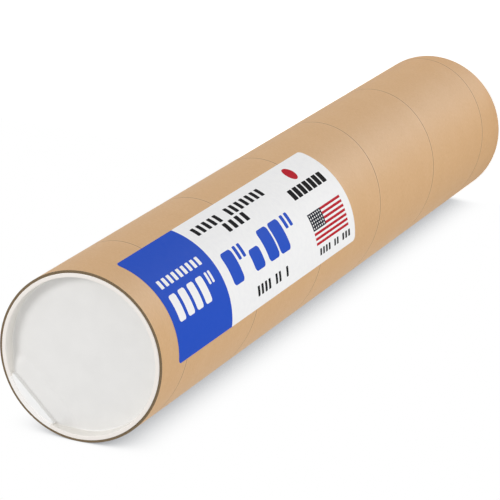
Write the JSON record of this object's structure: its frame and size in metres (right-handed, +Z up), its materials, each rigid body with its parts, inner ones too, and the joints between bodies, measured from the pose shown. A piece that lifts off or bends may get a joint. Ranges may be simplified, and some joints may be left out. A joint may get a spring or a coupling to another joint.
{
  "type": "cardboard mailing tube",
  "caption": "Spiral-wound kraft cardboard mailing tube with a push-in white plastic cap in each end and a paper label rolled on its side.",
  "frame": {"origin": "centre of the ground circle that the bottom cap's rim stands on", "axes": "+Z up along the tube's axis, towards the top cap; the label faces -Y"},
  "size_m": [0.1334, 0.1335, 0.764],
  "materials": {
    "kraft_board": "machine-finished kraft paper, spiral wound and glued",
    "label_paper": "coated white label paper, printed with plain colour fields",
    "cap_plastic": "white moulded low-density polyethylene, satin"
  },
  "bodies": {
    "tube": {"tube": "kraft_board", "label": "label_paper"},
    "top_cap": {"top_cap": "cap_plastic"},
    "bottom_cap": {"bottom_cap": "cap_plastic"}
  },
  "joints": [
    {"name": "top_cap_pull", "type": "slide", "parent": "tube", "child": "top_cap", "axis": [0, 0, 1], "range_m": [0, 0.05]},
    {"name": "bottom_cap_pull", "type": "slide", "parent": "tube", "child": "bottom_cap", "axis": [0, 0, -1], "range_m": [0, 0.05]}
  ]
}
